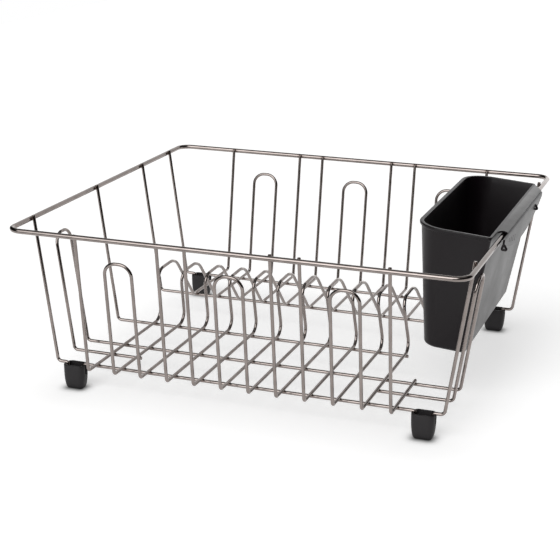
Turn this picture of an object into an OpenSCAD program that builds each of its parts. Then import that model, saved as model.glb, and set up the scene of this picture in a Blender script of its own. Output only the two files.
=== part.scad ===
// Dish drying rack: a basket of bent and welded wire on four push-on feet, with a cutlery caddy hung on its
// rim. +X runs along the long rims, +Y away from the front and +Z up. The origin is on the table, under the
// middle of the whole outline.

/* [Basket] */
// Length of the rim, between the centres of its wire
rim_length = 360; // [350:1:370]
// Width of the rim, between the centres of its wire
rim_width = 338; // [332:1:346]
// Height of the rim's centre above the table
rim_height = 138; // [134:1:144]
// Thickness of the rim wire
rim_d = 4; // [3.8:0.1:4.4]
// Radius of the rim's corners
rim_corner_r = 11; // [9:1:16]
// Distance between the side walls where they meet the floor
floor_length = 320; // [316:1:324]
// Distance between the front and rear walls where they meet the floor
floor_width = 300; // [296:1:304]
// Height of the long floor wires' centres above the table
floor_height = 21; // [19:0.5:22]

/* [Wires] */
// Thickness of the thin wire
wire_d = 2.7; // [2.5:0.1:2.9]
// How far two welded wires sink into each other
weld_depth = 0.2; // [0.15:0.05:0.3]
// Radius of the tight bends, at the wire's centre
bend_r = 3.5; // [3:0.5:5]
// Distance between neighbouring divider wires
slot_pitch = 22.5; // [22:0.1:23]
// How far a wire runs on past its last weld
wire_tail = 2.2; // [1.5:0.1:3]
// How far most divider wire ends stand above the rim's centre
low_end_rise = 0.8; // [0.5:0.1:1.5]
// How far the right-hand front wires stand above the rim's centre
high_end_rise = 2.3; // [1.5:0.1:3]
// How far the side wires stand above the rim's centre
side_end_rise = 3.2; // [2.6:0.1:4]

/* [Cup loops] */
// Height of the cup loops' tops above the table
loop_height = 118.5; // [110:0.5:122]
// Corner radius of the cup loops' tops
loop_r = 10; // [6:0.5:10.5]
// Distance from the middle to the front leg of the side cup loops
side_loop_front = 103.5; // [102:0.5:106]
// Distance from the middle to the rear leg of the side cup loops
side_loop_rear = 79.5; // [78:0.5:81]

/* [Plate hoops] */
// Distance from the front plate wire to the line where a hoop's front leg would meet the floor
hoop_leg_gap = 11.5; // [11:0.5:13]
// How far the front legs lean to the front
hoop_lean = 15.2; // [10:0.2:18]
// Height where a hoop's front leg would meet its top, above the table
hoop_shoulder = 70.9; // [66:0.1:72]
// Height where a hoop's rear slope would meet its top, above the table
hoop_peak = 72.1; // [70:0.1:76]
// Distance from the foot of a hoop's front leg back to its peak
hoop_peak_run = 22.2; // [20:0.2:25]
// Distance from a hoop's peak to its rear foot
hoop_slope_run = 50.4; // [47:0.2:53]
// Bend radius at the foot of the front leg
leg_r = 8.5; // [7:0.5:9]
// Bend radius of the shoulder
shoulder_r = 8.3; // [7:0.1:9]
// Bend radius of the peak
peak_r = 28; // [20:1:30]
// How much more each hoop's top is drawn towards the middle than its inner neighbour's
hoop_draw = 0.7; // [0:0.1:0.8]

/* [Floor wires] */
// Distance of the wires that carry the feet from the middle
foot_wire_y = 132; // [128:1:136]
// Distance of the front plate wire in front of the middle
front_plate_y = 21; // [20:0.5:23]
// Distance of the rear plate wire behind the middle
rear_plate_y = 71; // [69:0.5:73]

/* [Feet] */
// Distance of the feet from the middle, along the rack
foot_x = 144.5; // [143:0.5:146]
// Length of a foot's top
foot_top_length = 18.5; // [17:0.5:19]
// Width of a foot's top
foot_top_width = 13; // [12.5:0.5:15]
// Wall thickness of a foot
foot_wall = 1.8; // [1.5:0.1:2.2]
// Depth of the dip in the wire that a foot is pushed onto
dip_depth = 11; // [9:0.5:12]

/* [Cutlery caddy] */
// Length of the caddy's mouth, along the rim
caddy_length = 192; // [188:1:195]
// Width of the caddy's mouth
caddy_width = 61; // [56:0.5:62]
// Depth of the caddy
caddy_depth = 100; // [90:1:106]
// Distance of the caddy's middle behind the rack's middle
caddy_y = 25; // [22:0.5:27]
// Lean of the hanging caddy
caddy_lean = 4.5; // [3:0.1:5]
// Wall thickness of the caddy
caddy_wall = 2; // [1.6:0.1:2.4]
// Radius of the two corners that face the basket, at the mouth
caddy_inner_r = 24; // [18:1:26]
// How much smaller those two corners are at the bottom
corner_taper = 10; // [9:0.5:12]
// Radius of the two corners at the rim
caddy_outer_r = 3; // [2.5:0.5:5]
// How far the end walls taper in towards the bottom
end_taper = 11; // [8:0.5:12]
// How far the basket-side wall tapers in towards the bottom
inner_taper = 13.5; // [10:0.5:14]
// How far the rim-side wall tapers in towards the bottom
outer_taper = 10.5; // [8:0.5:12]
// Rounding of the bottom edge
caddy_foot_r = 2.5; // [2:0.5:4]
// Depth of the skirt that hangs outside the rim
skirt_depth = 19; // [16:0.5:21]
// Length of the skirt
skirt_length = 165; // [158:1:166]

/* [Hidden] */
$fn = 48;
slab = 0.01;
cut = 1;
divider_count = 12;
cross_height = floor_height + wire_d - weld_depth;
tie_gap = (rim_d + wire_d) / 2 - weld_depth;
side_wall_run = (rim_length - floor_length) / 2 - tie_gap;
end_wall_run = (rim_width - floor_width) / 2 - tie_gap;
hoop_leg_y = -front_plate_y + hoop_leg_gap;
hoop_peak_y = hoop_leg_y + hoop_peak_run;
hoop_rear_y = hoop_peak_y + hoop_slope_run;

// Straight lengths run a little way into each bend, and the bends are a little thinner, as bent wire is.
bend_lap = 0.2;
bend_thinning = 0.06;

dip_top_half = 7.2;
dip_bottom_half = 4.2;
dip_bend_r = 2.2;
foot_height = floor_height - 0.5;
foot_corner_r = 4.8;
foot_grip = 0.1;
foot_slot_gap = 0.15;
dip_height = floor_height - dip_depth;
foot_pocket_floor = dip_height - 0.5;
pocket_draft = 0.8;
groove_depth = 1;

// Heights on a foot, each with how far its sides are drawn in there.
foot_levels = [[0, 3.4], [0.8, 2.3], [2.6, 1.4], [6, 0.7], [11, 0.2], [foot_height - slab, 0]];

bead_reach = 1.3;
bead_height = 3;
bead_edge = 0.8;
bead_sink = 0.1;
rim_side_share = 0.1;
rounding_steps = 4;
roof_thickness = 1.5;
roof_reach = 8.2;
roof_slant = 16;
roof_end_gap = 4;
skirt_inner = 8;
skirt_thickness = 1.6;
skirt_step = 0.7;
skirt_end_depth = 5;
skirt_offset = -8.5;
caddy_edge_x = rim_length / 2 - 3.8;
caddy_edge_z = rim_height + 4.2;

// The arch at the front of the roof, where the rim comes out. Each point is given by its distance from the
// caddy's wall and from the caddy's front end.
rim_arch = [[0.4, 20], [1.8, 24.5], [4.4, 26.5], [7, 25], [roof_reach, 22]];

notch_count = 4;
notch_pitch = 8.5;
notch_width = 1.3;
notch_height = 3;
notch_growth = 0.9;
notch_inset = 19.5;
notch_drop = 6;
notch_step = 1.4;
loop_thickness = 1.6;
loop_hole_scale = 0.5;
loop_corners = [[8.8, -3.2], [7.2, -9.2], [12.75, -9]];
rear_loop_y = 68;

// The hung caddy reaches further out than the rim, so the basket stands a little off the middle of the
// outline.
caddy_reach = caddy_edge_x + loop_corners[2].x * cos(caddy_lean)
    + loop_corners[2].y * sin(caddy_lean);
outline_shift = (rim_length / 2 + rim_d / 2 - caddy_reach) / 2;

function unit(v) = v / norm(v);

// Distance from a corner to the start of its bend.
function bend_set(before, corner, after, r) =
    r * tan(acos(unit(corner - before) * unit(after - corner)) / 2);

function divider_x(number) = (number - (divider_count + 1) / 2) * slot_pitch;

// Distance of a front or rear wall from the middle, at a given height.
function end_wall_y(z) = floor_width / 2 + end_wall_run * (z - cross_height) / (rim_height - cross_height);

// Distance of a side wall from the middle, at a given height.
function side_wall_x(z) = floor_length / 2 + side_wall_run * (z - floor_height) / (rim_height - floor_height);

module straight_wire(a, b, d) {
    along = unit(b - a);
    side = unit(cross(abs(along.z) < 0.9 ? [0, 0, 1] : [1, 0, 0], along));
    up = cross(along, side);
    multmatrix([[side.x, up.x, along.x, a.x], [side.y, up.y, along.y, a.y], [side.z, up.z, along.z, a.z]])
        cylinder(h = norm(b - a), d = d);
}

module elbow(before, corner, after, r, d) {
    along = unit(corner - before);
    next = unit(after - corner);
    inward = unit(next - along * (along * next));
    turn = acos(along * next);
    centre = corner - along * bend_set(before, corner, after, r) + inward * r;
    axis = cross(-inward, along);
    multmatrix([[-inward.x, along.x, axis.x, centre.x], [-inward.y, along.y, axis.y, centre.y],
        [-inward.z, along.z, axis.z, centre.z]])
        rotate_extrude(angle = turn)
            translate([r, 0])
                circle(d = d - bend_thinning);
}

// A wire through the given corners. Each corner is [point, bend radius]; an open wire's ends have radius 0.
module bent_wire(path, d, closed = false) {
    count = len(path);
    sets = [for (i = [0 : count - 1])
        !closed && (i == 0 || i == count - 1) ? 0
            : bend_set(path[(i + count - 1) % count][0], path[i][0], path[(i + 1) % count][0], path[i][1])];
    for (i = [0 : count - (closed ? 1 : 2)]) {
        a = path[i][0];
        b = path[(i + 1) % count][0];
        along = unit(b - a);
        from = sets[i] - (sets[i] > 0 ? bend_lap : 0);
        to = sets[(i + 1) % count] - (sets[(i + 1) % count] > 0 ? bend_lap : 0);
        straight_wire(a + along * from, b - along * to, d);
    }
    for (i = [0 : count - 1])
        if (sets[i] > 0)
            elbow(path[(i + count - 1) % count][0], path[i][0], path[(i + 1) % count][0], path[i][1], d);
}

function side_end(side, y) =
    [[side * side_wall_x(rim_height + side_end_rise), y, rim_height + side_end_rise], 0];

function side_bend(side, y) = [[side * floor_length / 2, y, floor_height], bend_r];

// The dip that holds a foot, from its left corner to its right corner.
function foot_dip(x, y) = [
    [[x - dip_top_half, y, floor_height], dip_bend_r],
    [[x - dip_bottom_half, y, dip_height], dip_bend_r],
    [[x + dip_bottom_half, y, dip_height], dip_bend_r],
    [[x + dip_top_half, y, floor_height], dip_bend_r]];

// The floor part of a divider wire with its plate hoop, from front to rear.
function divider_floor(x) = [
    [[x, -floor_width / 2, cross_height], bend_r],
    [[x, hoop_leg_y, cross_height], leg_r],
    [[x * (1 - hoop_draw / slot_pitch), hoop_leg_y - hoop_lean, hoop_shoulder], shoulder_r],
    [[x * (1 - hoop_draw / slot_pitch), hoop_peak_y, hoop_peak], peak_r],
    [[x, hoop_rear_y, cross_height], shoulder_r],
    [[x, floor_width / 2, cross_height], bend_r]];

function reversed(list) = [for (i = [len(list) - 1 : -1 : 0]) list[i]];

function wall_end(x, side, rise) = [[x, side * end_wall_y(rim_height + rise), rim_height + rise], 0];

function loop_corner(x, side) = [[x, side * end_wall_y(loop_height), loop_height], loop_r];

module wire_colour() {
    color([0.56, 0.53, 0.51])
        translate([outline_shift, 0, 0])
            children();
}

module top_rim() {
    x = rim_length / 2;
    y = rim_width / 2;
    corners = [[-x, -y], [x, -y], [x, y], [-x, y]];
    wire_colour()
        bent_wire([for (c = corners) [[c.x, c.y, rim_height], rim_corner_r]], rim_d, closed = true);
}

module foot_wire(y) {
    wire_colour()
        bent_wire(concat([side_end(-1, y), side_bend(-1, y)], foot_dip(-foot_x, y), foot_dip(foot_x, y),
            [side_bend(1, y), side_end(1, y)]), wire_d);
}

module cup_loop_wire() {
    front = -side_loop_front;
    rear = -side_loop_rear;
    tail_x = divider_x(2) + wire_tail;
    top_x = side_wall_x(loop_height);
    wire_colour()
        bent_wire([
            [[tail_x, front, floor_height], 0],
            side_bend(-1, front),
            [[-top_x, front, loop_height], loop_r],
            [[-top_x, rear, loop_height], loop_r],
            side_bend(-1, rear),
            side_bend(1, rear),
            [[top_x, rear, loop_height], loop_r],
            [[top_x, front, loop_height], loop_r],
            side_bend(1, front),
            [[-tail_x, front, floor_height], 0]], wire_d);
}

module plate_wire(y, last_divider) {
    wire_colour()
        bent_wire([side_end(-1, y), side_bend(-1, y),
            [[divider_x(last_divider) + wire_tail, y, floor_height], 0]], wire_d);
}

module divider_wire(number) {
    x = divider_x(number);
    front_rise = number > divider_count / 2 ? high_end_rise : low_end_rise;
    wire_colour()
        bent_wire(concat([wall_end(x, -1, front_rise)], divider_floor(x),
            [wall_end(x, 1, low_end_rise)]), wire_d);
}

// Two neighbouring dividers made from one closed wire, joined by a cup loop at the front and at the rear.
module divider_loop(number) {
    a = divider_x(number);
    b = divider_x(number + 1);
    wire_colour()
        bent_wire(concat([loop_corner(a, -1)], divider_floor(a), [loop_corner(a, 1), loop_corner(b, 1)],
            reversed(divider_floor(b)), [loop_corner(b, -1)]), wire_d, closed = true);
}

// A short wire at the right-hand end, from the rim down and in to the floor wire at the given distance.
module end_wire(side, reach, rise) {
    x = divider_x(divider_count);
    wire_colour()
        bent_wire([wall_end(x, side, rise), [[x, side * floor_width / 2, cross_height], bend_r],
            [[x, side * (reach - wire_tail), cross_height], 0]], wire_d);
}

// A rounded rectangle, centred, as a thin slab at the given height.
module rounded_slab(length, width, r, z) {
    for (x = [-1, 1], y = [-1, 1])
        translate([x * (length / 2 - r), y * (width / 2 - r), z])
            cylinder(h = slab, r = r);
}

module foot(side, y) {
    pocket_length = foot_top_length - 2 * foot_wall;
    pocket_width = foot_top_width - 2 * foot_wall;
    pocket_r = foot_corner_r - foot_wall;
    color([0.13, 0.13, 0.13])
        translate([outline_shift + side * foot_x, y, 0])
            difference() {
                hull()
                    for (level = foot_levels)
                        rounded_slab(foot_top_length - 2 * level[1], foot_top_width - 2 * level[1],
                            foot_corner_r - level[1], level[0]);
                hull() {
                    rounded_slab(pocket_length - 2 * pocket_draft, pocket_width - 2 * pocket_draft,
                        pocket_r - pocket_draft, foot_pocket_floor);
                    rounded_slab(pocket_length, pocket_width, pocket_r, foot_height);
                }
                translate([-foot_top_length / 2 - cut, -wire_d / 2 - foot_slot_gap, dip_height + dip_bend_r])
                    cube([foot_top_length + 2 * cut, wire_d + 2 * foot_slot_gap, foot_height]);
                translate([-dip_top_half, -wire_d / 2 + foot_grip, foot_pocket_floor - groove_depth])
                    cube([2 * dip_top_half, wire_d - 2 * foot_grip, foot_height]);
            }
}

// One level of the caddy's outline, given by how far down it is and how much it is drawn in. The thick edge
// hardly stands out on the rim side, so that side is drawn in much less until the inset passes the edge.
module caddy_slab(down, inset) {
    share = down / caddy_depth;
    end_y = caddy_length / 2 - end_taper * share - inset;
    inner_x = -caddy_width + inner_taper * share + inset;
    outer_x = -outer_taper * share - max(inset * rim_side_share, inset - bead_reach * (1 - rim_side_share));
    inner_r = caddy_inner_r - corner_taper * share - inset;
    outer_r = max(caddy_outer_r - inset, 1);
    for (y = [-1, 1]) {
        translate([inner_x + inner_r, y * (end_y - inner_r), -down])
            cylinder(h = slab, r = inner_r);
        translate([outer_x - outer_r, y * (end_y - outer_r), -down])
            cylinder(h = slab, r = outer_r);
    }
}

// The caddy's body with its walls drawn in by the given inset and a rounded bottom edge. It makes both the
// outside and the hollow.
module caddy_shape(inset, top, floor_thickness) {
    foot_r = caddy_foot_r;
    bottom = caddy_depth - floor_thickness;
    hull() {
        caddy_slab(top, inset);
        for (step = [0 : rounding_steps]) {
            angle = 90 * step / rounding_steps;
            caddy_slab(bottom - foot_r * (1 - sin(angle)), inset + foot_r * (1 - cos(angle)));
        }
    }
}

// The thick edge round the mouth.
module caddy_bead() {
    hull() {
        caddy_slab(slab, bead_edge);
        caddy_slab(bead_edge, 0);
        caddy_slab(bead_height - bead_edge, 0);
        caddy_slab(bead_height, bead_reach + bead_sink);
    }
}

// The flat top of the hook, which lies over the rim.
module caddy_roof() {
    half = caddy_length / 2;
    front_y = roof_end_gap - half;
    translate([0, 0, -roof_thickness])
        linear_extrude(height = roof_thickness)
            polygon(concat([[-caddy_wall, front_y], [0, front_y]], [for (p = rim_arch) [p.x, p.y - half]],
                [[roof_reach, half - roof_end_gap - roof_slant], [0, half - roof_end_gap],
                [-caddy_wall, half - roof_end_gap]]));
}

// The curved flap outside the rim, with a row of small upright notches near its front end. Each notch is a
// little lower and longer than the one before it.
module caddy_skirt() {
    half = skirt_length / 2;
    rise = skirt_depth - skirt_end_depth;
    sweep_r = (half * half + rise * rise) / (2 * rise);
    difference() {
        intersection() {
            translate([skirt_inner, -half, -skirt_depth])
                cube([skirt_thickness, skirt_length, skirt_depth - skirt_step]);
            translate([0, 0, sweep_r - skirt_depth])
                rotate([0, 90, 0])
                    cylinder(h = skirt_inner + 2 * skirt_thickness, r = sweep_r, $fn = 240);
        }
        for (i = [0 : notch_count - 1])
            translate([skirt_inner + skirt_thickness, notch_inset - half + i * notch_pitch,
                -notch_drop - i * notch_step])
                cube([skirt_thickness, notch_width, notch_height + i * notch_growth], center = true);
    }
}

// A small three-sided clip loop beside the skirt.
module clip_loop() {
    middle = (loop_corners[0] + loop_corners[1] + loop_corners[2]) / 3;
    rotate([90, 0, 0])
        linear_extrude(height = loop_thickness, center = true)
            difference() {
                polygon(loop_corners);
                polygon([for (c = loop_corners) middle + (c - middle) * loop_hole_scale]);
            }
}

module cutlery_caddy() {
    color([0.12, 0.12, 0.12])
        translate([outline_shift + caddy_edge_x, caddy_y, caddy_edge_z])
            rotate([0, caddy_lean, 0]) {
                difference() {
                    union() {
                        caddy_shape(bead_reach, slab, 0);
                        caddy_bead();
                    }
                    caddy_shape(bead_reach + caddy_wall, -cut, caddy_wall);
                }
                caddy_roof();
                translate([0, skirt_offset, 0])
                    caddy_skirt();
                translate([0, skirt_offset - skirt_length / 2, 0])
                    clip_loop();
                translate([0, rear_loop_y - caddy_y, 0])
                    clip_loop();
            }
}

top_rim();
foot_wire(-foot_wire_y);  // front_foot_wire
cup_loop_wire();
plate_wire(-front_plate_y, divider_count - 1);  // front_plate_wire
plate_wire(rear_plate_y, divider_count);  // rear_plate_wire
foot_wire(foot_wire_y);  // rear_foot_wire
divider_wire(1);  // divider_wire_1
divider_loop(2);  // divider_loop_2_3
divider_wire(4);  // divider_wire_4
divider_wire(5);  // divider_wire_5
divider_loop(6);  // divider_loop_6_7
divider_wire(8);  // divider_wire_8
divider_wire(9);  // divider_wire_9
divider_loop(10);  // divider_loop_10_11
end_wire(-1, side_loop_rear, high_end_rise);  // front_end_wire
end_wire(1, rear_plate_y, low_end_rise);  // rear_end_wire
foot(-1, -foot_wire_y);  // foot_front_left
foot(1, -foot_wire_y);  // foot_front_right
foot(-1, foot_wire_y);  // foot_rear_left
foot(1, foot_wire_y);  // foot_rear_right
cutlery_caddy();
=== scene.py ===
"""Looks for the dish drying rack: polished dark wire, moulded black feet and a hung cutlery caddy."""
import math

import bmesh
import bpy
from mathutils import Matrix, Vector


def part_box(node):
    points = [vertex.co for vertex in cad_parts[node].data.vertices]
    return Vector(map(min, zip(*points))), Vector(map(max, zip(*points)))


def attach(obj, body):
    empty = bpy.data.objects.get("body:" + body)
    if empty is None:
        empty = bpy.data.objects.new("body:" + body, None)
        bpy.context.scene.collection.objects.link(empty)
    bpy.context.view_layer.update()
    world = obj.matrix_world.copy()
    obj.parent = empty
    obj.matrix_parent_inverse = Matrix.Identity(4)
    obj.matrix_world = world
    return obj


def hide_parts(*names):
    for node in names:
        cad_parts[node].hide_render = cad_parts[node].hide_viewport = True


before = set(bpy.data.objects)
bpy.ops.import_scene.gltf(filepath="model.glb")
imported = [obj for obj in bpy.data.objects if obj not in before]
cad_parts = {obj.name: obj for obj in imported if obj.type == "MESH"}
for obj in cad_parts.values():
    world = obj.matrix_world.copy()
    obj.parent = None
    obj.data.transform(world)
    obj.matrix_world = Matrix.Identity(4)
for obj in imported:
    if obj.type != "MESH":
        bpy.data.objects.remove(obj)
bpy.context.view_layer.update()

MM = 0.001

# ---------------------------------------------------------------- sizes, in mm, as in the CAD source
RIM_WIRE = 4.0
THIN_WIRE = 2.7
RIM_CORNER = 11.0
FLOOR_LENGTH = 320.0
FLOOR_WIDTH = 300.0
FLOOR_HEIGHT = 21.0
WELD_DEPTH = 0.2
BEND = 3.5
SLOT_PITCH = 22.5
DIVIDERS = 12
WIRE_TAIL = 2.2
LOW_RISE = 0.8
HIGH_RISE = 2.3
SIDE_RISE = 3.2
LOOP_HEIGHT = 118.5
LOOP_BEND = 10.0
SIDE_LOOP_FRONT = 103.5
SIDE_LOOP_REAR = 79.5
HOOP_LEG_GAP = 11.5
HOOP_LEAN = 15.2
HOOP_SHOULDER = 70.9
HOOP_PEAK = 72.1
HOOP_PEAK_RUN = 22.2
HOOP_SLOPE_RUN = 50.4
LEG_BEND = 8.5
SHOULDER_BEND = 8.3
PEAK_BEND = 28.0
HOOP_DRAW = 0.7
FOOT_WIRE_Y = 132.0
FRONT_PLATE_Y = 21.0
REAR_PLATE_Y = 71.0
DIP_DEPTH = 11.0
DIP_TOP_HALF = 7.2
DIP_BOTTOM_HALF = 4.2
DIP_BEND = 2.2

FOOT_X = 144.5
FOOT_LENGTH = 18.5
FOOT_WIDTH = 13.0
FOOT_WALL = 1.8
FOOT_HEIGHT = 20.5
FOOT_CORNER = 4.8
FOOT_GRIP = 0.1
SLOT_GAP = 0.15
GROOVE_DEPTH = 1.0
POCKET_DRAFT = 0.8
POCKET_FLOOR = 9.5

CADDY_LENGTH = 192.0
CADDY_WIDTH = 61.0
CADDY_DEPTH = 100.0
CADDY_Y = 25.0
CADDY_LEAN = math.radians(4.5)
CADDY_WALL = 2.0
CADDY_INNER_CORNER = 24.0
CADDY_OUTER_CORNER = 3.0
CORNER_TAPER = 10.0
CADDY_FOOT = 2.5
END_TAPER = 11.0
INNER_TAPER = 13.5
OUTER_TAPER = 10.5
BEAD_REACH = 1.3
BEAD_HEIGHT = 3.0
RIM_SIDE_SHARE = 0.1
EDGE_INSIDE_RIM = 3.8
EDGE_ABOVE_RIM = 4.2
ROOF_REACH = 8.2
ROOF_THICKNESS = 1.5
ROOF_SLANT = 16.0
ROOF_END_GAP = 4.0
SKIRT_INNER = 8.0
SKIRT_THICKNESS = 1.6
SKIRT_STEP = 0.7
SKIRT_DEPTH = 19.0
SKIRT_END_DEPTH = 5.0
SKIRT_LENGTH = 165.0
SKIRT_OFFSET = -8.5
NOTCHES = 4
NOTCH_PITCH = 8.5
NOTCH_WIDTH = 1.3
NOTCH_HEIGHT = 3.0
NOTCH_GROWTH = 0.9
NOTCH_INSET = 19.5
NOTCH_DROP = 6.0
NOTCH_STEP = 1.4
CLIP_CORNERS = ((8.8, -3.2), (7.2, -9.2), (12.75, -9.0))
REAR_CLIP_Y = 68.0

rim_low, rim_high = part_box("top_rim")
SHIFT = (rim_low.x + rim_high.x) / 2 / MM
RIM_LENGTH = (rim_high.x - rim_low.x) / MM - RIM_WIRE
RIM_WIDTH = (rim_high.y - rim_low.y) / MM - RIM_WIRE
RIM_HEIGHT = (rim_low.z + rim_high.z) / 2 / MM
CROSS_HEIGHT = FLOOR_HEIGHT + THIN_WIRE - WELD_DEPTH
TIE_GAP = (RIM_WIRE + THIN_WIRE) / 2 - WELD_DEPTH
SIDE_RUN = (RIM_LENGTH - FLOOR_LENGTH) / 2 - TIE_GAP
END_RUN = (RIM_WIDTH - FLOOR_WIDTH) / 2 - TIE_GAP
DIP_HEIGHT = FLOOR_HEIGHT - DIP_DEPTH

# ---------------------------------------------------------------- finer shapes, only in the looks, in mm
BEND_STEP = 6  # degrees of a wire's bend from one ring of points to the next
FEWEST_STEPS = 3
RIM_SIDES = 32
THIN_SIDES = 20
CLIP_SIDES = 12
END_ROUND = 0.35
END_ANGLES = (math.radians(90), math.radians(45), 0)
RING_GAP = 0.25
WELD_MARKS = (-4, -2.4, -1.4, -0.6, 0, 0.6, 1.4, 2.4, 4)
WELD_TOUCH = 0.02
WELD_TINT = 2.3
NUGGET_REACH = 1.45
NUGGET_HEIGHT = 0.95
NUGGET_SIDES = 16
NUGGET_ROWS = 8
PARALLEL = 1e-6
BOX_TOLERANCE = 0.6
CORNER_STEPS = 10

# Up the outside of a foot as (height, inset); over its lip as (depth, inset), then as (depth, how much less
# than the wall); round the pocket's lower corner as (height over its floor, further inset, tighter corner).
FOOT_LEVELS = (
    (0, 3.4), (0.25, 2.9), (0.8, 2.3), (1.6, 1.8), (2.6, 1.4),
    (4.2, 1.0), (6, 0.7), (8.4, 0.42), (11, 0.2), (15, 0.08))
FOOT_LIP_OUTSIDE = ((0.45, 0.0), (0.16, 0.1), (0.02, 0.4), (0.0, 0.7))
FOOT_LIP_INSIDE = ((0.0, 0.5), (0.05, 0.25), (0.3, 0.0))
POCKET_CORNER = ((0.6, -0.04, 0.0), (0.15, 0.15, 0.1), (0.0, 0.6, 0.4))
SLOT_STEPS = 12
SLOT_CUT = 3

# Depths up the outside of the caddy; round its bead as (depth, inset); over the land as (depth, how much less
# than the wall); depths down the inside.
CADDY_FOOT_STEPS = 8
OUTSIDE_LEVELS = (84, 70, 56, 42, 28, 14, 5, BEAD_HEIGHT + 0.3)
BEAD_LEVELS = (
    (3.05, 1.22), (2.95, 0.85), (2.75, 0.45), (2.4, 0.14), (2.0, 0.02), (1.2, 0.0),
    (0.7, 0.06), (0.36, 0.2), (0.14, 0.45), (0.03, 0.8), (0.0, 1.15))
LAND_LEVELS = ((0.0, 0.5), (0.04, 0.3), (0.14, 0.13), (0.34, 0.03), (0.6, 0.0))
INSIDE_LEVELS = (6, 14, 28, 42, 56, 70, 84)

# The arch at the front of the roof, where the rim comes out, as (distance from the wall, from the front end).
RIM_ARCH = (
    (0.4, 20), (0.8, 22.4), (1.8, 24.5), (3.0, 25.9), (4.4, 26.5), (5.8, 26.1), (7, 25), (7.8, 23.6),
    (ROOF_REACH, 22))
ROOF_OVERLAP = 1.0
ROOF_DROP = 0.03
ROOF_BEVEL = 0.3
ROOF_BEVEL_STEPS = 3

# The skirt's upper and lower outside edges, as (inwards, away from the edge).
SKIRT_STEPS = 60
SKIRT_TOP_EDGE = ((0.7, 0.0), (0.3, 0.1), (0.1, 0.3), (0.0, 0.7))
SKIRT_LOW_EDGE = ((0.0, 0.5), (0.15, 0.15), (0.5, 0.0))
NOTCH_CUT = 1

# A clip loop's centre line has its corners drawn in towards their middle, so that the bar fills the CAD loop.
CLIP_SCALE = 0.76
CLIP_BEND = 0.7
CLIP_RADIUS = 0.95


# ---------------------------------------------------------------- shader nodes
def new_shader(name):
    material = bpy.data.materials.new(name)
    material.use_nodes = True
    tree = material.node_tree
    tree.nodes.clear()
    out = tree.nodes.new("ShaderNodeOutputMaterial")
    bsdf = tree.nodes.new("ShaderNodeBsdfPrincipled")
    tree.links.new(bsdf.outputs[0], out.inputs[0])
    return material, tree, bsdf


def noise(tree, where, scale, detail=4.0, roughness=0.55):
    made = tree.nodes.new("ShaderNodeTexNoise")
    made.inputs["Scale"].default_value = scale
    made.inputs["Detail"].default_value = detail
    made.inputs["Roughness"].default_value = roughness
    tree.links.new(where, made.inputs["Vector"])
    return made.outputs["Fac"]


def remap(tree, value, low, high, to_low=0.0, to_high=1.0, smooth=False):
    """The value's place between low and high, kept between to_low and to_high."""
    made = tree.nodes.new("ShaderNodeMapRange")
    made.interpolation_type = "SMOOTHSTEP" if smooth else "LINEAR"
    made.inputs["From Min"].default_value = low
    made.inputs["From Max"].default_value = high
    made.inputs["To Min"].default_value = to_low
    made.inputs["To Max"].default_value = to_high
    tree.links.new(value, made.inputs["Value"])
    return made.outputs["Result"]


def maths(tree, operation, *values):
    """One step of arithmetic on numbers or other nodes' outputs."""
    made = tree.nodes.new("ShaderNodeMath")
    made.operation = operation
    for socket, value in zip(made.inputs, values):
        if isinstance(value, (int, float)):
            socket.default_value = value
        else:
            tree.links.new(value, socket)
    return made.outputs[0]


def mixed(tree, factor, first, second):
    """Two colours, or other nodes' outputs, mixed by the factor."""
    made = tree.nodes.new("ShaderNodeMix")
    made.data_type = "RGBA"
    tree.links.new(factor, made.inputs[0])
    for socket, colour in ((made.inputs[6], first), (made.inputs[7], second)):
        if isinstance(colour, tuple):
            socket.default_value = (*colour, 1.0)
        else:
            tree.links.new(colour, socket)
    return made.outputs[2]


def bump(tree, height, strength, distance, below=None):
    made = tree.nodes.new("ShaderNodeBump")
    made.inputs["Strength"].default_value = strength
    made.inputs["Distance"].default_value = distance
    tree.links.new(height, made.inputs["Height"])
    if below is not None:
        tree.links.new(below, made.inputs["Normal"])
    return made.outputs[0]


def tinted(tone, *shares):
    """The colour times one share, or each channel times its own."""
    return tuple(channel * share for channel, share in zip(tone, shares if len(shares) > 1 else shares * 3))


# ---------------------------------------------------------------- materials
def wire_metal(name, tone, gloss):
    """Polished black-nickel plate: faint drawing lines, slight thickness waves, a darker tint near the welds.
    """
    material, tree, bsdf = new_shader(name)
    where = tree.nodes.new("ShaderNodeTexCoord").outputs["Object"]
    weld = tree.nodes.new("ShaderNodeAttribute")
    weld.attribute_name = "weld"
    cloud = noise(tree, where, scale=90.0, detail=3.0)
    fine = noise(tree, where, scale=900.0, detail=2.0)
    plate = mixed(tree, remap(tree, cloud, low=0.35, high=0.65), tinted(tone, 0.82), tone)
    weld_darkened = mixed(tree, weld.outputs["Fac"], plate, tinted(tone, 0.42, 0.36, 0.33))
    tree.links.new(weld_darkened, bsdf.inputs["Base Color"])
    bsdf.inputs["Metallic"].default_value = 1.0
    worn = remap(tree, fine, low=0.3, high=0.7, to_low=gloss * 0.8, to_high=gloss * 1.25)
    tree.links.new(worn, bsdf.inputs["Roughness"])
    wave = bump(tree, cloud, strength=0.12, distance=0.0004)
    lines = bump(tree, fine, strength=0.05, distance=0.00005, below=wave)
    tree.links.new(lines, bsdf.inputs["Normal"])
    return material


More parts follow.
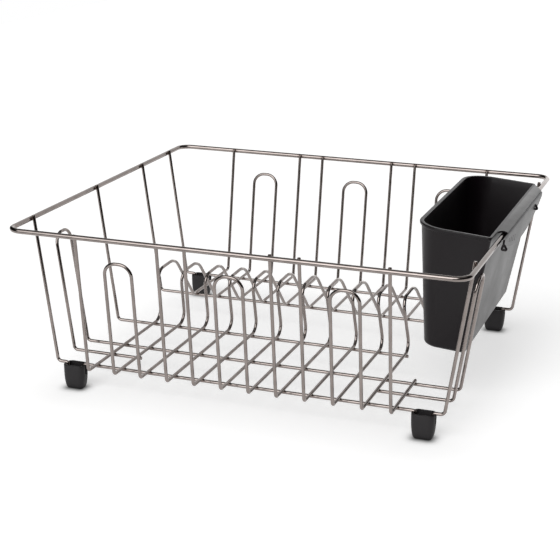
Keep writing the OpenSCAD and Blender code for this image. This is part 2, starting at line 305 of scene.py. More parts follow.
def moulded_plastic(name, tone, gloss, grain, specular):
    """Injection-moulded black plastic: fine spark-eroded grain, cloudy gloss and faint pale scuffs."""
    material, tree, bsdf = new_shader(name)
    where = tree.nodes.new("ShaderNodeTexCoord").outputs["Object"]
    cloud = noise(tree, where, scale=28.0, detail=5.0)
    spark = noise(tree, where, scale=2600.0, detail=2.0, roughness=0.6)
    scuff = noise(tree, where, scale=210.0, detail=8.0, roughness=0.7)
    worn = remap(tree, scuff, low=0.62, high=0.8, to_high=0.35)
    pale = tuple(channel * 2.0 + 0.004 for channel in tone)
    base = mixed(tree, cloud, tinted(tone, 0.8), tinted(tone, 1.2))
    tree.links.new(mixed(tree, worn, base, pale), bsdf.inputs["Base Color"])
    tree.links.new(remap(tree, cloud, 0.3, 0.7, *gloss), bsdf.inputs["Roughness"])
    bsdf.inputs["Specular IOR Level"].default_value = specular
    tree.links.new(bump(tree, spark, strength=grain, distance=0.00012), bsdf.inputs["Normal"])
    return material


NICKEL = (0.300, 0.262, 0.246)
rim_metal = wire_metal("black_nickel_rim", NICKEL, gloss=0.1)
thin_metal = wire_metal("black_nickel_thin", NICKEL, gloss=0.09)
caddy_plastic = moulded_plastic(
    "caddy_plastic", (0.0046, 0.0026, 0.0038), gloss=(0.3, 0.38), grain=0.2, specular=0.31)
foot_plastic = moulded_plastic(
    "foot_plastic", (0.012, 0.0105, 0.0115), gloss=(0.48, 0.6), grain=0.35, specular=0.32)


# ---------------------------------------------------------------- wire paths, as in the CAD source
def divider_x(number):
    return (number - (DIVIDERS + 1) / 2) * SLOT_PITCH


def end_wall_y(z):
    return FLOOR_WIDTH / 2 + END_RUN * (z - CROSS_HEIGHT) / (RIM_HEIGHT - CROSS_HEIGHT)


def side_wall_x(z):
    return FLOOR_LENGTH / 2 + SIDE_RUN * (z - FLOOR_HEIGHT) / (RIM_HEIGHT - FLOOR_HEIGHT)


def side_end(side, y):
    z = RIM_HEIGHT + SIDE_RISE
    return ((side * side_wall_x(z), y, z), 0)


def side_bend(side, y):
    return ((side * FLOOR_LENGTH / 2, y, FLOOR_HEIGHT), BEND)


def foot_dip(x, y):
    return [
        ((x + off, y, z), DIP_BEND)
        for off, z in (
            (-DIP_TOP_HALF, FLOOR_HEIGHT), (-DIP_BOTTOM_HALF, DIP_HEIGHT),
            (DIP_BOTTOM_HALF, DIP_HEIGHT), (DIP_TOP_HALF, FLOOR_HEIGHT))
    ]


def divider_floor(x):
    leg = -FRONT_PLATE_Y + HOOP_LEG_GAP
    peak = leg + HOOP_PEAK_RUN
    drawn = x * (1 - HOOP_DRAW / SLOT_PITCH)
    return [
        ((x, -FLOOR_WIDTH / 2, CROSS_HEIGHT), BEND),
        ((x, leg, CROSS_HEIGHT), LEG_BEND),
        ((drawn, leg - HOOP_LEAN, HOOP_SHOULDER), SHOULDER_BEND),
        ((drawn, peak, HOOP_PEAK), PEAK_BEND),
        ((x, peak + HOOP_SLOPE_RUN, CROSS_HEIGHT), SHOULDER_BEND),
        ((x, FLOOR_WIDTH / 2, CROSS_HEIGHT), BEND),
    ]


def wall_end(x, side, rise):
    z = RIM_HEIGHT + rise
    return ((x, side * end_wall_y(z), z), 0)


def loop_corner(x, side):
    return ((x, side * end_wall_y(LOOP_HEIGHT), LOOP_HEIGHT), LOOP_BEND)


def rim_path():
    x, y = RIM_LENGTH / 2, RIM_WIDTH / 2
    return [((a, b, RIM_HEIGHT), RIM_CORNER) for a, b in ((-x, -y), (x, -y), (x, y), (-x, y))]


def foot_wire(y):
    return [side_end(-1, y), side_bend(-1, y), *foot_dip(-FOOT_X, y), *foot_dip(FOOT_X, y),
            side_bend(1, y), side_end(1, y)]


def cup_loop_wire():
    front, rear = -SIDE_LOOP_FRONT, -SIDE_LOOP_REAR
    tail, top = divider_x(2) + WIRE_TAIL, side_wall_x(LOOP_HEIGHT)
    return [
        ((tail, front, FLOOR_HEIGHT), 0), side_bend(-1, front),
        ((-top, front, LOOP_HEIGHT), LOOP_BEND), ((-top, rear, LOOP_HEIGHT), LOOP_BEND),
        side_bend(-1, rear), side_bend(1, rear),
        ((top, rear, LOOP_HEIGHT), LOOP_BEND), ((top, front, LOOP_HEIGHT), LOOP_BEND),
        side_bend(1, front), ((-tail, front, FLOOR_HEIGHT), 0),
    ]


def plate_wire(y, last):
    return [side_end(-1, y), side_bend(-1, y), ((divider_x(last) + WIRE_TAIL, y, FLOOR_HEIGHT), 0)]


def divider_wire(number):
    x = divider_x(number)
    rise = HIGH_RISE if number > DIVIDERS / 2 else LOW_RISE
    return [wall_end(x, -1, rise), *divider_floor(x), wall_end(x, 1, LOW_RISE)]


def divider_loop(number):
    a, b = divider_x(number), divider_x(number + 1)
    return [loop_corner(a, -1), *divider_floor(a), loop_corner(a, 1),
            loop_corner(b, 1), *reversed(divider_floor(b)), loop_corner(b, -1)]


def end_wire(side, reach, rise):
    x = divider_x(DIVIDERS)
    return [wall_end(x, side, rise), ((x, side * FLOOR_WIDTH / 2, CROSS_HEIGHT), BEND),
            ((x, side * (reach - WIRE_TAIL), CROSS_HEIGHT), 0)]


WIRES = {
    "front_foot_wire": (foot_wire(-FOOT_WIRE_Y), False),
    "cup_loop_wire": (cup_loop_wire(), False),
    "front_plate_wire": (plate_wire(-FRONT_PLATE_Y, DIVIDERS - 1), False),
    "rear_plate_wire": (plate_wire(REAR_PLATE_Y, DIVIDERS), False),
    "rear_foot_wire": (foot_wire(FOOT_WIRE_Y), False),
    "front_end_wire": (end_wire(-1, SIDE_LOOP_REAR, HIGH_RISE), False),
    "rear_end_wire": (end_wire(1, REAR_PLATE_Y, LOW_RISE), False),
}
for single in (1, 4, 5, 8, 9):
    WIRES[f"divider_wire_{single}"] = (divider_wire(single), False)
for double in (2, 6, 10):
    WIRES[f"divider_loop_{double}_{double + 1}"] = (divider_loop(double), True)


# ---------------------------------------------------------------- swept wire
def route(path, closed):
    """Each bend's points along one wire, and the straight runs (start, end) between the bends."""
    count = len(path)
    points = [Vector(p) + Vector((SHIFT, 0, 0)) for p, _ in path]
    bends = []
    for i in range(count):
        if not closed and i in (0, count - 1):
            bends.append([points[i]])
            continue
        before, corner, after = points[i - 1], points[i], points[(i + 1) % count]
        along, onward = (corner - before).normalized(), (after - corner).normalized()
        turn = along.angle(onward)
        radius = path[i][1]
        start = corner - along * radius * math.tan(turn / 2)
        inward = (onward - along * along.dot(onward)).normalized()
        centre = start + inward * radius
        steps = max(FEWEST_STEPS, math.ceil(math.degrees(turn) / BEND_STEP))
        bends.append([
            centre + (along * math.sin(turn * k / steps) - inward * math.cos(turn * k / steps)) * radius
            for k in range(steps + 1)
        ])
    runs = [(bends[i][-1], bends[(i + 1) % count][0]) for i in range(count if closed else count - 1)]
    return bends, runs


def nearest(a, b, c, d):
    """Closest points of segments ab and cd."""
    u, v, w = b - a, d - c, a - c
    uu, uv, vv, uw, vw = u.dot(u), u.dot(v), v.dot(v), u.dot(w), v.dot(w)
    bottom = uu * vv - uv * uv
    s = 0.0 if bottom < PARALLEL else min(max((uv * vw - vv * uw) / bottom, 0), 1)
    t = min(max((uv * s + vw) / vv, 0), 1)
    s = min(max((uv * t - uw) / uu, 0), 1)
    return a + u * s, c + v * t


ROUTES = {name: (*route(path, closed), THIN_WIRE / 2, closed) for name, (path, closed) in WIRES.items()}
ROUTES["top_rim"] = (*route(rim_path(), True), RIM_WIRE / 2, True)


def find_welds():
    """Every place where two wires touch: (point, direction along the second wire, direction towards it)."""
    found = []
    names = sorted(ROUTES)
    for i, first in enumerate(names):
        for second in names[i + 1:]:
            reach = ROUTES[first][2] + ROUTES[second][2]
            share = ROUTES[first][2] / reach
            for a, b in ROUTES[first][1]:
                for c, d in ROUTES[second][1]:
                    p, q = nearest(a, b, c, d)
                    if (p - q).length < reach + WELD_TOUCH:
                        found.append((p.lerp(q, share), (d - c).normalized(), (q - p).normalized()))
    return found


WELDS = find_welds()


def weld_nearness(p):
    """1 at a weld, fading to 0 a few millimetres away."""
    close = min((p - weld[0]).length for weld in WELDS)
    return math.exp(-((close / WELD_TINT) ** 2))


def ring(centre, side, up, radius, count):
    return [
        centre + (side * math.cos(2 * math.pi * k / count) + up * math.sin(2 * math.pi * k / count)) * radius
        for k in range(count)
    ]


def run_points(a, b, radius):
    """Points of the run ab beside each weld on it, which carry the darker tint near the weld."""
    length = (b - a).length
    along = (b - a).normalized()
    marks = set()
    for point, *_ in WELDS:
        at = (point - a).dot(along)
        on_wire = (point - a - along * at).length < radius + THIN_WIRE
        if on_wire and WELD_MARKS[0] < at < length + WELD_MARKS[-1]:
            marks |= {at + off for off in WELD_MARKS}
    points = []
    last = 0.0
    for mark in sorted(marks):
        if last + RING_GAP < mark < length - RING_GAP:
            points.append(a + along * mark)
            last = mark
    return points


def spine_of(name):
    bends, runs, radius, _ = ROUTES[name]
    spine = []
    for i, bend in enumerate(bends):
        spine += bend
        if i < len(runs):
            spine += run_points(*runs[i], radius)
    return spine


def carried_sides(spine, closed):
    """The direction along the spine at each point, and one across it that turns as little as it can."""
    count = len(spine)
    tangents = []
    for i in range(count):
        before = spine[i - 1] if closed or i else spine[0]
        after = spine[(i + 1) % count] if closed or i < count - 1 else spine[-1]
        tangents.append((after - before).normalized())
    side = tangents[0].orthogonal().normalized()
    sides = []
    for i in range(count):
        if i:
            side = tangents[i - 1].rotation_difference(tangents[i]) @ side
        side = (side - tangents[i] * side.dot(tangents[i])).normalized()
        sides.append(side)
    twist = 0.0
    if closed:
        back = tangents[-1].rotation_difference(tangents[0]) @ side
        cross = back.cross(sides[0]).dot(tangents[0])
        twist = math.atan2(cross, back.dot(sides[0]))
    return [
        (tangents[i], Matrix.Rotation(twist * i / count, 3, tangents[i]) @ sides[i])
        for i in range(count)
    ]


def wire_rings(name, around):
    """Rings of points round a wire, with a small round edge at each free end."""
    _, _, radius, closed = ROUTES[name]
    spine = spine_of(name)
    rings = []
    for i, (along, side) in enumerate(carried_sides(spine, closed)):
        up = along.cross(side)
        if closed or 0 < i < len(spine) - 1:
            rings.append(ring(spine[i], side, up, radius, around))
            continue
        inward = along * (1 if i == 0 else -1)
        edge = []
        for a in END_ANGLES:
            centre = spine[i] + inward * END_ROUND * (1 - math.sin(a))
            edge.append(ring(centre, side, up, radius - END_ROUND * (1 - math.cos(a)), around))
        rings += edge if i == 0 else edge[::-1]
    return rings


def loft(mesh, rings, closed=False):
    """Skins a stack of equal rings of points in mm, with a cap at each end unless it closes on itself."""
    rows = [[mesh.verts.new(p * MM) for p in row] for row in rings]
    around = len(rows[0])
    for i in range(len(rows) if closed else len(rows) - 1):
        low, high = rows[i], rows[(i + 1) % len(rows)]
        for k in range(around):
            n = (k + 1) % around
            mesh.faces.new((low[k], low[n], high[n], high[k]))
    if not closed:
        mesh.faces.new(rows[0][::-1])
        mesh.faces.new(rows[-1])


def finish_mesh(mesh, name, weld_points=None, smooth=math.radians(40)):
    bmesh.ops.recalc_face_normals(mesh, faces=mesh.faces)
    data = bpy.data.meshes.new(name)
    mesh.to_mesh(data)
    mesh.free()
    if weld_points is not None:
        layer = data.attributes.new("weld", "FLOAT", "POINT")
        layer.data.foreach_set("value", [weld_nearness(p) for p in weld_points])
    data.shade_smooth()
    data.set_sharp_from_angle(angle=smooth)
    piece = bpy.data.objects.new(name, data)
    bpy.context.scene.collection.objects.link(piece)
    return piece


def sweep(name, around):
    rings = wire_rings(name, around)
    mesh = bmesh.new()
    loft(mesh, rings, closed=ROUTES[name][3])
    return finish_mesh(mesh, name, [p for row in rings for p in row])


def stands_for(piece, body, node):
    """Puts the piece on its body in place of the CAD node, once it is sure to fill that node's box."""
    piece.name = piece.data.name = "look_" + node
    low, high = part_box(node)
    for axis in range(3):
        reach = [vertex.co[axis] for vertex in piece.data.vertices]
        off = max(abs(min(reach) - low[axis]), abs(max(reach) - high[axis])) / MM
        if off > BOX_TOLERANCE:
            raise ValueError(f"{piece.name} misses its CAD box by {off:.2f} mm along axis {axis}")
    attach(piece, body)
    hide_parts(node)


for wire in sorted(ROUTES):
    thick = wire == "top_rim"
    made = sweep(wire, RIM_SIDES if thick else THIN_SIDES)
    made.data.materials.append(rim_metal if thick else thin_metal)
    stands_for(made, "rack", wire)


def weld_beads():
    """The small flattened nugget that each spot weld leaves in the corner between two wires."""
    mesh = bmesh.new()
    weld_points = []
    for point, onward, normal in WELDS:
        across = (onward - normal * onward.dot(normal)).normalized()
        along = normal.cross(across)
        poles = [mesh.verts.new((point + normal * NUGGET_HEIGHT * s) * MM) for s in (-1, 1)]
        grid = []
        for j in range(1, NUGGET_ROWS):
            a = math.pi * j / NUGGET_ROWS - math.pi / 2
            centre = point + normal * NUGGET_HEIGHT * math.sin(a)
            row = ring(centre, along, across, NUGGET_REACH * math.cos(a), NUGGET_SIDES)
            grid.append([mesh.verts.new(p * MM) for p in row])
        weld_points += [point] * (2 + NUGGET_SIDES * (NUGGET_ROWS - 1))
        for k in range(NUGGET_SIDES):
            n = (k + 1) % NUGGET_SIDES
            mesh.faces.new((poles[0], grid[0][n], grid[0][k]))
            mesh.faces.new((poles[1], grid[-1][k], grid[-1][n]))
            for low, high in zip(grid, grid[1:]):
                mesh.faces.new((low[k], low[n], high[n], high[k]))
    piece = finish_mesh(mesh, "weld_beads", weld_points, smooth=math.radians(180))
    piece.data.materials.append(thin_metal)
    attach(piece, "rack")


weld_beads()


# ---------------------------------------------------------------- moulded parts
def rounded_outline(low_x, high_x, half_y, low_corner, high_corner):
    """A rounded rectangle, counter-clockwise; each x side has its own corner radius."""
    points = []
    for x, radius, way, start in ((high_x, high_corner, -1, 0), (low_x, low_corner, 1, 90),
                                  (low_x, low_corner, 1, 180), (high_x, high_corner, -1, 270)):
        centre_y = (half_y - radius) * (1 if start in (0, 90) else -1)
        for k in range(CORNER_STEPS + 1):
            a = math.radians(start + 90 * k / CORNER_STEPS)
            points.append((x + way * radius + radius * math.cos(a), centre_y + radius * math.sin(a)))
    return points


def block(mesh, low, high):
    """A box in mm."""
    corners = ((low[0], low[1]), (high[0], low[1]), (high[0], high[1]), (low[0], high[1]))
    loft(mesh, [[Vector((x, y, z)) for x, y in corners] for z in (low[2], high[2])])


def carved(solid, cutter):
    """The first mesh with the second one cut out of it. Both are used up."""
    pieces = []
    for mesh in (solid, cutter):
        bmesh.ops.recalc_face_normals(mesh, faces=mesh.faces)
        data = bpy.data.meshes.new("carving")
        mesh.to_mesh(data)
        mesh.free()
        piece = bpy.data.objects.new("carving", data)
        bpy.context.scene.collection.objects.link(piece)
        pieces.append(piece)
    cut = pieces[0].modifiers.new("cut", "BOOLEAN")
    cut.operation, cut.solver, cut.object = "DIFFERENCE", "EXACT", pieces[1]
    ready = pieces[0].evaluated_get(bpy.context.evaluated_depsgraph_get()).to_mesh()
    result = bmesh.new()
    result.from_mesh(ready)
    for piece in pieces:
        bpy.data.meshes.remove(piece.data)
    return result


def append(mesh, other):
    """Adds the second mesh to the first as a shell of its own."""
    data = bpy.data.meshes.new("shell")
    other.to_mesh(data)
    other.free()
    mesh.from_mesh(data)
    bpy.data.meshes.remove(data)


def foot_ring(z, inset, radius):
    x, y = FOOT_LENGTH / 2 - inset, FOOT_WIDTH / 2 - inset
    return [Vector((u, v, z)) for u, v in rounded_outline(-x, x, y, radius, radius)]


def foot_body():
    """Up the outside of a foot, over its lip and down into its pocket."""
    lip = [*FOOT_LIP_OUTSIDE, *((down, FOOT_WALL - less) for down, less in FOOT_LIP_INSIDE)]
    pocket = FOOT_WALL + POCKET_DRAFT
    rings = [foot_ring(z, inset, FOOT_CORNER - inset) for z, inset in FOOT_LEVELS]
    rings += [foot_ring(FOOT_HEIGHT - down, inset, FOOT_CORNER - inset) for down, inset in lip]
    for up, further, tighter in POCKET_CORNER:
        rings.append(foot_ring(POCKET_FLOOR + up, pocket + further, FOOT_CORNER - pocket - tighter))
    mesh = bmesh.new()
    loft(mesh, rings)
    return mesh


def foot_slot():
    """The open slot with a round bottom that lets the wire through both ends of a foot."""
    half, bottom = THIN_WIRE / 2 + SLOT_GAP, DIP_HEIGHT + DIP_BEND
    turns = [math.radians(180 + 180 * k / SLOT_STEPS) for k in range(SLOT_STEPS + 1)]
    arch = [(half * math.cos(a), bottom + half + half * math.sin(a)) for a in turns]
    arch += [(half, FOOT_HEIGHT + SLOT_CUT), (-half, FOOT_HEIGHT + SLOT_CUT)]
    mesh = bmesh.new()
    loft(mesh, [[Vector((x, v, z)) for v, z in arch] for x in (-FOOT_LENGTH, FOOT_LENGTH)])
    return mesh


def foot_groove():
    """The groove that grips the bottom of the wire's dip."""
    half = THIN_WIRE / 2 - FOOT_GRIP
    mesh = bmesh.new()
    block(mesh, (-DIP_TOP_HALF, -half, POCKET_FLOOR - GROOVE_DEPTH), (DIP_TOP_HALF, half, FOOT_HEIGHT))
    return mesh


def foot(name, side, y):
    mesh = carved(carved(foot_body(), foot_slot()), foot_groove())
    bmesh.ops.translate(mesh, verts=mesh.verts, vec=Vector((SHIFT + side * FOOT_X, y, 0)) * MM)
    piece = finish_mesh(mesh, name, smooth=math.radians(35))
    piece.data.materials.append(foot_plastic)
    stands_for(piece, "rack", name)


for end, side_sign in (("left", -1), ("right", 1)):
    foot("foot_front_" + end, side_sign, -FOOT_WIRE_Y)
    foot("foot_rear_" + end, side_sign, FOOT_WIRE_Y)


def caddy_place(u, y, w):
    """A point of the caddy in the rack's own mm, before the shift to the middle of the outline."""
    edge_x, edge_z = RIM_LENGTH / 2 - EDGE_INSIDE_RIM, RIM_HEIGHT + EDGE_ABOVE_RIM
    lean_cos, lean_sin = math.cos(CADDY_LEAN), math.sin(CADDY_LEAN)
    return Vector((edge_x + u * lean_cos + w * lean_sin, CADDY_Y + y, edge_z - u * lean_sin + w * lean_cos))


def caddy_ring(down, inset):
    share = down / CADDY_DEPTH
    outline = rounded_outline(
        INNER_TAPER * share + inset - CADDY_WIDTH,
        -OUTER_TAPER * share - max(inset * RIM_SIDE_SHARE, inset - BEAD_REACH * (1 - RIM_SIDE_SHARE)),
        CADDY_LENGTH / 2 - END_TAPER * share - inset,
        CADDY_INNER_CORNER - CORNER_TAPER * share - inset,
        max(CADDY_OUTER_CORNER - inset, 1))
    return [Vector((u, y, -down)) for u, y in outline]


def bottom_curve(depth, inset, angles):
    """Levels of the round edge between the caddy's wall and its bottom."""
    return [
        (depth - CADDY_FOOT * (1 - math.sin(a)), inset + CADDY_FOOT * (1 - math.cos(a)))
        for a in angles
    ]


def caddy_shell():
    """Up the outside of the caddy, over its bead and land and down the inside."""
    quarter = [math.radians(90 * k / CADDY_FOOT_STEPS) for k in range(CADDY_FOOT_STEPS + 1)]
    inside = BEAD_REACH + CADDY_WALL
    levels = bottom_curve(CADDY_DEPTH, BEAD_REACH, quarter[::-1])
    levels += [(down, BEAD_REACH) for down in OUTSIDE_LEVELS]
    levels += BEAD_LEVELS
    levels += [(down, inside - less) for down, less in LAND_LEVELS]
    levels += [(down, inside) for down in INSIDE_LEVELS]
    levels += bottom_curve(CADDY_DEPTH - CADDY_WALL, inside, quarter)
    mesh = bmesh.new()
    loft(mesh, [caddy_ring(down, inset) for down, inset in levels])
    return mesh


def caddy_roof():
    """The flat roof over the rim, with an arch where the rim comes out and its upper edges rounded."""
    half = CADDY_LENGTH / 2
    front, rear = ROOF_END_GAP - half, half - ROOF_END_GAP
    outline = [(-ROOF_OVERLAP, front), (0.0, front), *((u, y - half) for u, y in RIM_ARCH),
               (ROOF_REACH, rear - ROOF_SLANT), (0.0, rear), (-ROOF_OVERLAP, rear)]
    mesh = bmesh.new()
    loft(mesh, [[Vector((u, y, w)) for u, y in outline] for w in (-ROOF_THICKNESS, -ROOF_DROP)])
    middle_z, middle_x = -ROOF_THICKNESS / 2 * MM, -ROOF_OVERLAP / 2 * MM
    upper = [edge for edge in mesh.edges if min(v.co.z for v in edge.verts) > middle_z]
    rounded = [edge for edge in upper if max(v.co.x for v in edge.verts) > middle_x]
    bmesh.ops.bevel(mesh, geom=rounded, offset=ROOF_BEVEL * MM, segments=ROOF_BEVEL_STEPS, profile=0.5,
                    affect="EDGES", clamp_overlap=True)
    return mesh


def caddy_skirt():
    """The skirt outside the rim, with a curved lower edge and four notches."""
    half = SKIRT_LENGTH / 2
    rise = SKIRT_DEPTH - SKIRT_END_DEPTH
    sweep_r = (half * half + rise * rise) / (2 * rise)
    inner, outer, top = SKIRT_INNER, SKIRT_INNER + SKIRT_THICKNESS, -SKIRT_STEP
    rings = []
    for k in range(-SKIRT_STEPS, SKIRT_STEPS + 1):
        y = half * k / SKIRT_STEPS
        low = sweep_r - SKIRT_DEPTH - math.sqrt(sweep_r ** 2 - y ** 2)
        section = [(inner, top), *((outer - inwards, top - away) for inwards, away in SKIRT_TOP_EDGE),
                   *((outer - inwards, low + away) for inwards, away in SKIRT_LOW_EDGE), (inner, low)]
        rings.append([Vector((u, y + SKIRT_OFFSET, w)) for u, w in section])
    solid = bmesh.new()
    loft(solid, rings)
    cutter = bmesh.new()
    for i in range(NOTCHES):
        y = NOTCH_INSET - half + i * NOTCH_PITCH + SKIRT_OFFSET
        w, tall = -NOTCH_DROP - i * NOTCH_STEP, (NOTCH_HEIGHT + i * NOTCH_GROWTH) / 2
        block(cutter, (outer - SKIRT_THICKNESS / 2, y - NOTCH_WIDTH / 2, w - tall),
              (outer + NOTCH_CUT, y + NOTCH_WIDTH / 2, w + tall))
    return carved(solid, cutter)


def caddy_clip(name, y):
    """One of the small three-sided loops on the skirt."""
    middle_u, middle_w = (sum(corner[i] for corner in CLIP_CORNERS) / len(CLIP_CORNERS) for i in (0, 1))
    path = []
    for u, w in CLIP_CORNERS:
        drawn_u = middle_u + (u - middle_u) * CLIP_SCALE
        drawn_w = middle_w + (w - middle_w) * CLIP_SCALE
        path.append((caddy_place(drawn_u, y, drawn_w), CLIP_BEND))
    ROUTES[name] = (*route(path, True), CLIP_RADIUS, True)
    return sweep(name, CLIP_SIDES)


def caddy():
    mesh = caddy_shell()
    append(mesh, caddy_roof())
    append(mesh, caddy_skirt())
    for v in mesh.verts:
        p = v.co / MM
        v.co = (caddy_place(p.x, p.y, p.z) + Vector((SHIFT, 0, 0))) * MM
    for clip, y in enumerate((SKIRT_OFFSET - SKIRT_LENGTH / 2, REAR_CLIP_Y - CADDY_Y)):
        loop = caddy_clip(f"clip_{clip}", y)
        mesh.from_mesh(loop.data)
        bpy.data.meshes.remove(loop.data)
    piece = finish_mesh(mesh, "cutlery_caddy", smooth=math.radians(32))
    piece.data.materials.append(caddy_plastic)
    stands_for(piece, "caddy", "cutlery_caddy")


caddy()


# ---------------------------------------------------------------- floor: pale, with painted shade, in metres
FLOOR_CORNERS = ((-1.4, -0.56, 0), (1.4, -0.56, 0), (1.4, 4.0, 0), (-1.4, 4.0, 0))
FLOOR_TONE = (0.8, 0.8, 0.8)
FLOOR_GLOW = 0.6
FLOOR_CLOUD = (0.995, 1.0)
# Painted shade: the floor's colour and glow darken in a soft pool under the rack and in a contact shadow
# under each foot.
SHADE_POOL_FADE = 0.045
SHADE_POOL_DEPTH = 0.125
CONTACT_SHADOW_REACH = (0.004, 0.002, 0.0062)
CONTACT_SHADOW_DEPTH = 0.93


def falloff(tree, place, centre, reach, depth):
    """1 far from a box around the centre and less by depth within it; reach is (half x, half y, fade)."""
    gaps = []
    for axis, middle, half in (("X", centre[0], reach[0]), ("Y", centre[1], reach[1])):
        away = maths(tree, "ABSOLUTE", maths(tree, "SUBTRACT", place.outputs[axis], middle))
        gap = maths(tree, "MAXIMUM", maths(tree, "SUBTRACT", away, half), 0.0)
        gaps.append(maths(tree, "POWER", maths(tree, "DIVIDE", gap, reach[2]), 2.0))
    near = maths(tree, "EXPONENT", maths(tree, "MULTIPLY", maths(tree, "ADD", *gaps), -1.0))
    return maths(tree, "SUBTRACT", 1.0, maths(tree, "MULTIPLY", near, depth))


def floor_material():
    """Nearly white paper: a painted soft pool of shade under the rack, painted dark contact shadows at its
    feet and a faint cloud.
    """
    material, tree, bsdf = new_shader("pale_floor")
    where = tree.nodes.new("ShaderNodeTexCoord").outputs["Object"]
    place = tree.nodes.new("ShaderNodeSeparateXYZ")
    tree.links.new(where, place.inputs[0])
    # Painted shade: a soft pool that darkens the floor's colour and glow under the rack.
    shade = falloff(tree, place, (SHIFT * MM, 0), (FOOT_X * MM, FOOT_WIRE_Y * MM, SHADE_POOL_FADE), SHADE_POOL_DEPTH)
    for side in (-1, 1):
        for y in (-FOOT_WIRE_Y, FOOT_WIRE_Y):
            under = ((SHIFT + side * FOOT_X) * MM, y * MM)
            # Painted contact shadow under each foot.
            contact_shadow = falloff(tree, place, under, CONTACT_SHADOW_REACH, CONTACT_SHADOW_DEPTH)
            shade = maths(tree, "MULTIPLY", shade, contact_shadow)
    cloud = remap(tree, noise(tree, where, scale=14.0, detail=6.0), 0.3, 0.7, *FLOOR_CLOUD)
    shade = maths(tree, "MULTIPLY", shade, cloud)
    grey = tree.nodes.new("ShaderNodeCombineColor")
    for socket in grey.inputs[:3]:
        tree.links.new(shade, socket)
    # The painted shade darkens both the floor's colour and its glow.
    tree.links.new(mixed(tree, shade, (0, 0, 0), FLOOR_TONE), bsdf.inputs["Base Color"])
    tree.links.new(grey.outputs[0], bsdf.inputs["Emission Color"])
    bsdf.inputs["Emission Strength"].default_value = FLOOR_GLOW
    bsdf.inputs["Roughness"].default_value = 0.9
    bsdf.inputs["Specular IOR Level"].default_value = 0.0
    return material


def floor():
    data = bpy.data.meshes.new("floor")
    mesh = bmesh.new()
    mesh.faces.new([mesh.verts.new(p) for p in FLOOR_CORNERS])
    mesh.to_mesh(data)
    mesh.free()
    piece = bpy.data.objects.new("floor", data)
    bpy.context.scene.collection.objects.link(piece)
    data.materials.append(floor_material())


floor()

# ---------------------------------------------------------------- light: a soft studio seen by direction
# A large box in front, whose lower edge is higher on the right; angles in degrees, places across as -1 to 1.
BOX_LIGHT = 3.4
BOX_LOW_EDGE = (-5, 12)
BOX_HIGH_EDGE = (50, 66)
BOX_LEFT_EDGE = (-0.8, -0.3)
BOX_RIGHT_EDGE = (0.2, 0.5)
BOX_SHIFT = 16
BOX_SHIFT_EDGE = (-0.12, 0.04)
# A weak glow overhead, a spot and a wide patch on the wall behind, and what is left everywhere else.
TOP_LIGHT = 0.28
TOP_EDGE = (0.6, 0.95)
SPOT_LIGHT = 0.8
SPOT_EDGE = (13.5, 18)
WALL_LIGHT = 0.85
WALL_EDGE = (36, 46)
ROOM_LIGHT = 0.015


def rising(tree, value, edge):
    """0 below the edge, 1 above it."""
    return remap(tree, value, *edge, smooth=True)


def falling(tree, value, edge):
    """1 below the edge, 0 above it."""
    return maths(tree, "SUBTRACT", 1.0, rising(tree, value, edge))


def radians(degrees):
    return tuple(math.radians(angle) for angle in degrees)


def front_box(tree, across, ahead, height):
    steepness = maths(tree, "ARCTAN2", height, maths(tree, "MULTIPLY", ahead, -1.0))
    shift = maths(tree, "MULTIPLY", rising(tree, across, BOX_SHIFT_EDGE), math.radians(BOX_SHIFT))
    tall = maths(tree, "MULTIPLY",
                 rising(tree, maths(tree, "SUBTRACT", steepness, shift), radians(BOX_LOW_EDGE)),
                 falling(tree, steepness, radians(BOX_HIGH_EDGE)))
    wide = maths(tree, "MULTIPLY", rising(tree, across, BOX_LEFT_EDGE), falling(tree, across, BOX_RIGHT_EDGE))
    return maths(tree, "MULTIPLY", maths(tree, "MULTIPLY", tall, wide), BOX_LIGHT)


def patch_behind(tree, ahead, edge, light):
    """A round patch straight behind the rack, from full to nothing between two angles from its middle."""
    full, nothing = (math.cos(angle) for angle in radians(edge))
    return maths(tree, "MULTIPLY", rising(tree, ahead, (nothing, full)), light)


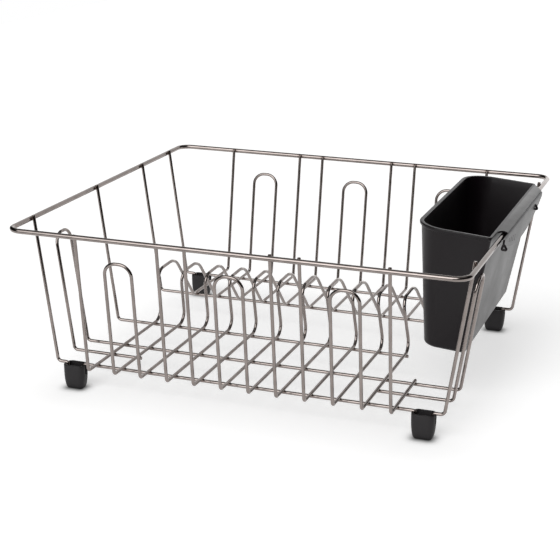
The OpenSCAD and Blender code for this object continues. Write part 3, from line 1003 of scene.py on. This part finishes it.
def studio():
    """The world by direction, as the rack sees it; the camera sees plain white."""
    world = bpy.data.worlds.new("studio")
    world.use_nodes = True
    tree = world.node_tree
    tree.nodes.clear()
    split = tree.nodes.new("ShaderNodeSeparateXYZ")
    tree.links.new(tree.nodes.new("ShaderNodeTexCoord").outputs["Generated"], split.inputs[0])
    across, ahead, height = split.outputs
    top = maths(tree, "MULTIPLY", rising(tree, height, TOP_EDGE), TOP_LIGHT)
    behind = maths(tree, "ADD", patch_behind(tree, ahead, SPOT_EDGE, SPOT_LIGHT),
                   patch_behind(tree, ahead, WALL_EDGE, WALL_LIGHT))
    light = maths(tree, "ADD", maths(tree, "ADD", front_box(tree, across, ahead, height), top),
                  maths(tree, "ADD", behind, ROOM_LIGHT))
    lit = tree.nodes.new("ShaderNodeBackground")
    tree.links.new(light, lit.inputs["Color"])
    white = tree.nodes.new("ShaderNodeBackground")
    white.inputs["Color"].default_value = (1.0, 1.0, 1.0, 1)
    pick = tree.nodes.new("ShaderNodeMixShader")
    tree.links.new(tree.nodes.new("ShaderNodeLightPath").outputs["Is Camera Ray"], pick.inputs[0])
    tree.links.new(lit.outputs[0], pick.inputs[1])
    tree.links.new(white.outputs[0], pick.inputs[2])
    out = tree.nodes.new("ShaderNodeOutputWorld")
    tree.links.new(pick.outputs[0], out.inputs[0])
    return world


bpy.context.scene.world = studio()
bpy.context.scene.view_settings.view_transform = "Standard"

# ---------------------------------------------------------------- camera, fitted to the wires and the feet
CAMERA_AT = Vector((365.9, -1091.2, 426.1)) * MM
YAW, PITCH, ROLL = math.radians(19.469), math.radians(17.222), math.radians(0.558)
LENS = 91.25
forward = Vector((-math.sin(YAW) * math.cos(PITCH), math.cos(YAW) * math.cos(PITCH), -math.sin(PITCH)))
level_right = Vector((math.cos(YAW), math.sin(YAW), 0))
level_up = level_right.cross(forward)
right = level_right * math.cos(ROLL) + level_up * math.sin(ROLL)
up = level_up * math.cos(ROLL) - level_right * math.sin(ROLL)
lens = bpy.data.cameras.new("camera")
lens.lens = LENS
lens.sensor_width = 36
lens.clip_start, lens.clip_end = 0.05, 50
camera = bpy.data.objects.new("camera", lens)
bpy.context.scene.collection.objects.link(camera)
turn = Matrix((right, up, -forward)).transposed().to_4x4()
camera.matrix_world = Matrix.Translation(CAMERA_AT) @ turn
bpy.context.scene.camera = camera
